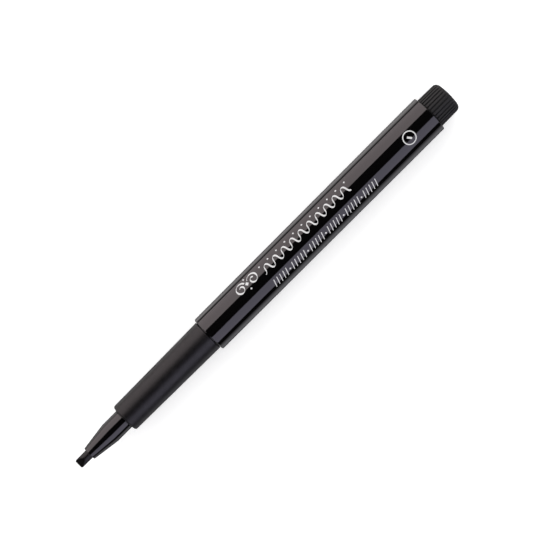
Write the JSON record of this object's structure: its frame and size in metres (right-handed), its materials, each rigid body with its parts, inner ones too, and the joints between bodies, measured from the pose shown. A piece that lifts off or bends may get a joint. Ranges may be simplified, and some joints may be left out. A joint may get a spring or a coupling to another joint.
{
  "type": "calligraphy marker",
  "caption": "Round black calligraphy marker without its cap: chisel-cut felt nib, glossy nib holder, matte grip sleeve, glossy tapered barrel and ribbed end plug.",
  "frame": {"origin": "centre of the pen's box, on the surface that it lies on", "axes": "the pen's axis is along X, 5.6 mm up, with the nib towards -X and the end plug towards +X; the nib's writing edge is level, along Y; the printed side is up, towards +Z"},
  "size_m": [0.1396, 0.0112, 0.0112],
  "materials": {
    "barrel_gloss": "gloss",
    "plug_matte": "matte",
    "reservoir_fibre": "matte",
    "film_clear": "gloss",
    "holder_gloss": "gloss",
    "grip_matte": "satin",
    "nib_felt": "matte",
    "print_white": "matte"
  },
  "bodies": {
    "barrel": {"barrel": "barrel_gloss", "ink_reservoir": "reservoir_fibre", "reservoir_film": "film_clear"},
    "front_section": {"nib_holder": "holder_gloss", "grip_sleeve": "grip_matte"},
    "nib": {"chisel_nib": "nib_felt"},
    "end_plug": {"end_plug": "plug_matte"}
  },
  "joints": [
    {"name": "front_section_pull", "type": "slide", "parent": "barrel", "child": "front_section", "axis": [-1, 0, 0], "range_m": [0, 0.034]},
    {"name": "nib_pull", "type": "slide", "parent": "front_section", "child": "nib", "axis": [-1, 0, 0], "range_m": [0, 0.03]},
    {"name": "end_plug_pull", "type": "slide", "parent": "barrel", "child": "end_plug", "axis": [1, 0, 0], "range_m": [0, 0.0125]}
  ]
}
